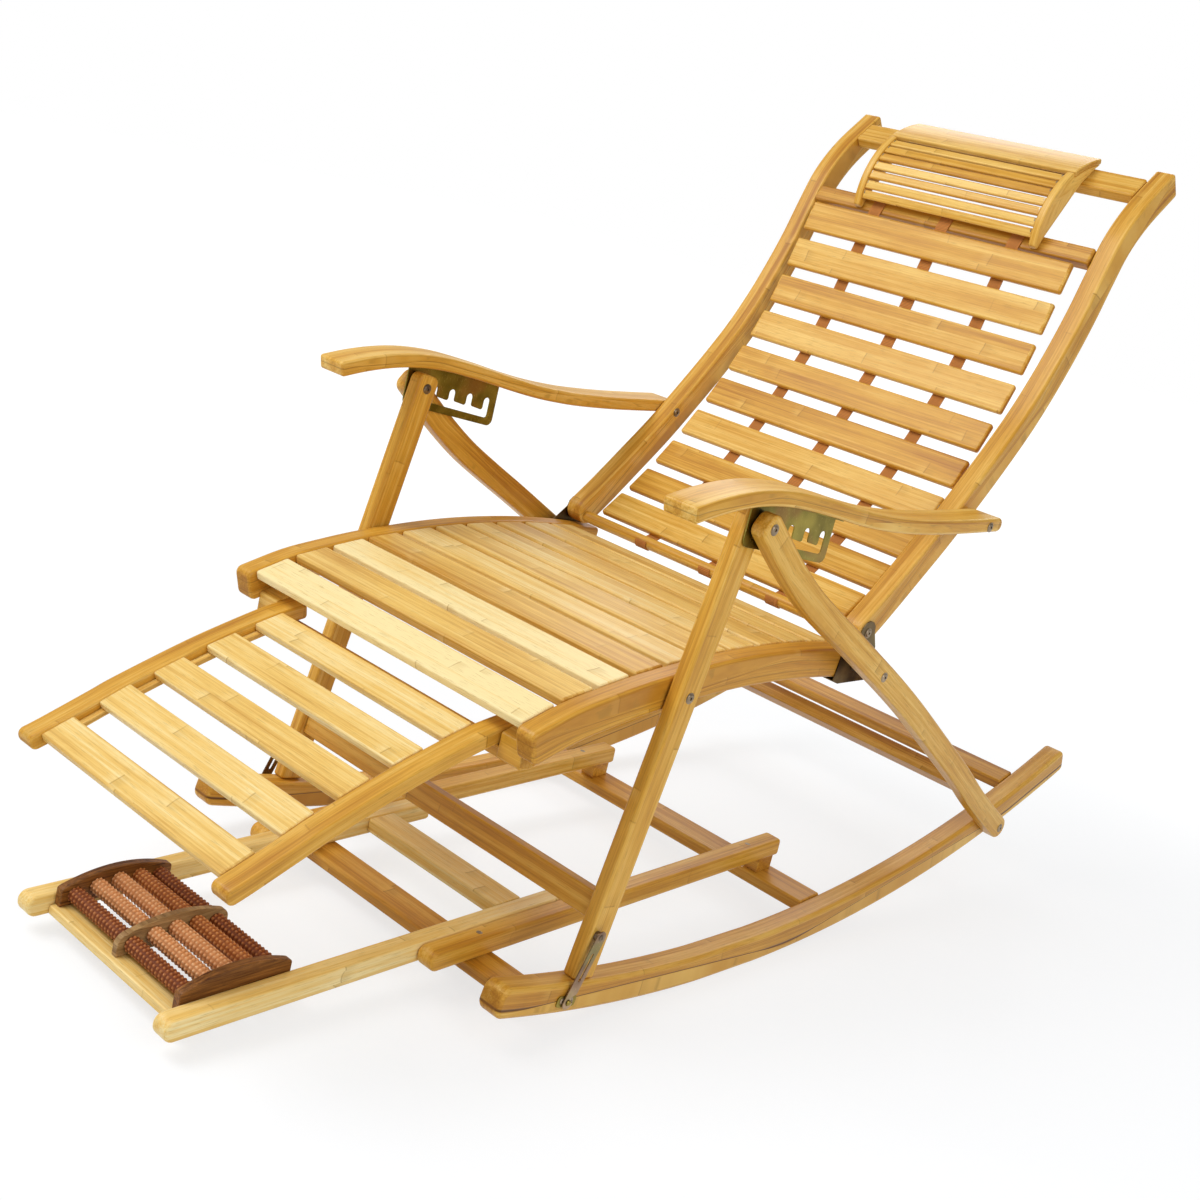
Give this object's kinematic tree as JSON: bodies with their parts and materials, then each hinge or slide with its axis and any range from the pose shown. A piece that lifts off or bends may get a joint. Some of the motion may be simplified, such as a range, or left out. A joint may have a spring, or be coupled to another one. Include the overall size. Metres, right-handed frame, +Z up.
{
  "type": "rocker recliner",
  "caption": "Folding bamboo rocking lounge chair with a reclining slatted back, slatted headrest, sliding calf rest and a sliding foot frame with a roller massager.",
  "frame": {"origin": "on the floor, below the middle of the chair's length and width", "axes": "+Z up, +Y towards the head end, +X towards the sitter's left, feet towards -Y"},
  "size_m": [0.6396, 1.5894, 1.1066],
  "materials": {
    "bamboo_honey": "satin varnish over honey bamboo",
    "bamboo_pale": "satin varnish over pale bamboo",
    "bamboo_amber": "satin varnish over amber bamboo",
    "walnut": "dark stain",
    "ash_wood": "plain",
    "roller_wood": "red-brown stain, ringed",
    "zinc_steel": "yellow zinc plating",
    "painted_steel": "olive passivated",
    "dark_steel": "dark zinc"
  },
  "bodies": {
    "rocker_base": {"rocker_left": "bamboo_honey", "rocker_right": "bamboo_honey", "foot_guide_left": "bamboo_honey", "foot_guide_right": "bamboo_honey", "link_catch_left": "zinc_steel", "link_catch_right": "zinc_steel", "rocker_crossbar_front": "bamboo_amber", "rocker_crossbar_middle": "bamboo_amber", "rocker_crossbar_rear": "bamboo_amber"},
    "seat_frame": {"seat_rail_left": "bamboo_honey", "seat_rail_right": "bamboo_honey", "front_leg_left": "bamboo_honey", "front_leg_right": "bamboo_honey", "rear_leg_left": "bamboo_honey", "rear_leg_right": "bamboo_honey", "hinge_bracket_left": "painted_steel", "hinge_bracket_right": "painted_steel", "hinge_bolt_left": "dark_steel", "hinge_bolt_right": "dark_steel", "rocker_bolt_left": "dark_steel", "rocker_bolt_right": "dark_steel", "seat_slats": "bamboo_pale", "front_leg_stretcher": "bamboo_amber", "rear_leg_stretcher": "bamboo_amber", "calf_support": "bamboo_pale"},
    "backrest": {"back_rail_left": "bamboo_honey", "back_rail_right": "bamboo_honey", "arm_bolt_left": "dark_steel", "arm_bolt_right": "dark_steel", "back_slats": "bamboo_honey", "back_top_crossbar": "bamboo_amber", "back_strap_crossbar": "bamboo_amber", "back_lower_crossbar": "bamboo_honey", "headrest_pillow": "bamboo_pale", "headrest_board": "bamboo_honey"},
    "arm_left": {"armrest_left": "bamboo_honey", "comb_plate_left": "zinc_steel"},
    "arm_right": {"armrest_right": "bamboo_honey", "comb_plate_right": "zinc_steel"},
    "link_left": {"stay_link_left": "zinc_steel"},
    "link_right": {"stay_link_right": "zinc_steel"},
    "calf_rest": {"calf_rail_left": "bamboo_honey", "calf_rail_right": "bamboo_honey", "calf_slats": "bamboo_pale"},
    "foot_frame": {"foot_slide_left": "bamboo_pale", "foot_slide_right": "bamboo_pale", "massager_cheek_left": "walnut", "massager_cheek_right": "walnut", "foot_slide_crossbar": "bamboo_pale", "foot_board_front": "bamboo_pale", "foot_board_rear": "bamboo_pale", "massager_middle": "ash_wood"},
    "roller_1": {"massage_roller_1": "roller_wood"},
    "roller_2": {"massage_roller_2": "roller_wood"},
    "roller_3": {"massage_roller_3": "roller_wood"},
    "roller_4": {"massage_roller_4": "roller_wood"},
    "roller_5": {"massage_roller_5": "roller_wood"}
  },
  "joints": [
    {"name": "frame_fold", "type": "hinge", "parent": "rocker_base", "child": "seat_frame", "pos_m": [0, 0.578, 0.113], "axis": [1, 0, 0], "range_deg": [-45, 0]},
    {"name": "back_recline", "type": "hinge", "parent": "seat_frame", "child": "backrest", "pos_m": [0, 0.102, 0.447], "axis": [1, 0, 0], "range_deg": [0, 40]},
    {"name": "arm_swing_left", "type": "hinge", "parent": "backrest", "child": "arm_left", "pos_m": [0.2925, 0.247, 0.605], "axis": [1, 0, 0], "range_deg": [-33, 0]},
    {"name": "link_swing_left", "type": "hinge", "parent": "seat_frame", "child": "link_left", "pos_m": [0.296, -0.333, 0.115], "axis": [1, 0, 0], "range_deg": [-70, 0]},
    {"name": "arm_swing_right", "type": "hinge", "parent": "backrest", "child": "arm_right", "pos_m": [-0.2925, 0.247, 0.605], "axis": [1, 0, 0], "range_deg": [-33, 0]},
    {"name": "link_swing_right", "type": "hinge", "parent": "seat_frame", "child": "link_right", "pos_m": [-0.296, -0.333, 0.115], "axis": [1, 0, 0], "range_deg": [-70, 0]},
    {"name": "calf_slide", "type": "slide", "parent": "seat_frame", "child": "calf_rest", "axis": [0, 0.9426, 0.3338], "range_m": [0, 0.14]},
    {"name": "foot_slide", "type": "slide", "parent": "rocker_base", "child": "foot_frame", "axis": [0, 0.9988, 0.0499], "range_m": [0, 0.33]},
    {"name": "roller_spin_1", "type": "hinge", "parent": "foot_frame", "child": "roller_1", "pos_m": [0, -0.7471, 0.04675], "axis": [1, 0, 0], "continuous": true},
    {"name": "roller_spin_2", "type": "hinge", "parent": "foot_frame", "child": "roller_2", "pos_m": [0, -0.7208, 0.05271], "axis": [1, 0, 0], "continuous": true},
    {"name": "roller_spin_3", "type": "hinge", "parent": "foot_frame", "child": "roller_3", "pos_m": [0, -0.6945, 0.05557], "axis": [1, 0, 0], "continuous": true},
    {"name": "roller_spin_4", "type": "hinge", "parent": "foot_frame", "child": "roller_4", "pos_m": [0, -0.6682, 0.05534], "axis": [1, 0, 0], "continuous": true},
    {"name": "roller_spin_5", "type": "hinge", "parent": "foot_frame", "child": "roller_5", "pos_m": [0, -0.6419, 0.05201], "axis": [1, 0, 0], "continuous": true}
  ],
  "couplings": [
    {"joint": "arm_swing_left", "follows": "back_recline", "ratio": -0.825},
    {"joint": "arm_swing_right", "follows": "back_recline", "ratio": -0.825}
  ]
}
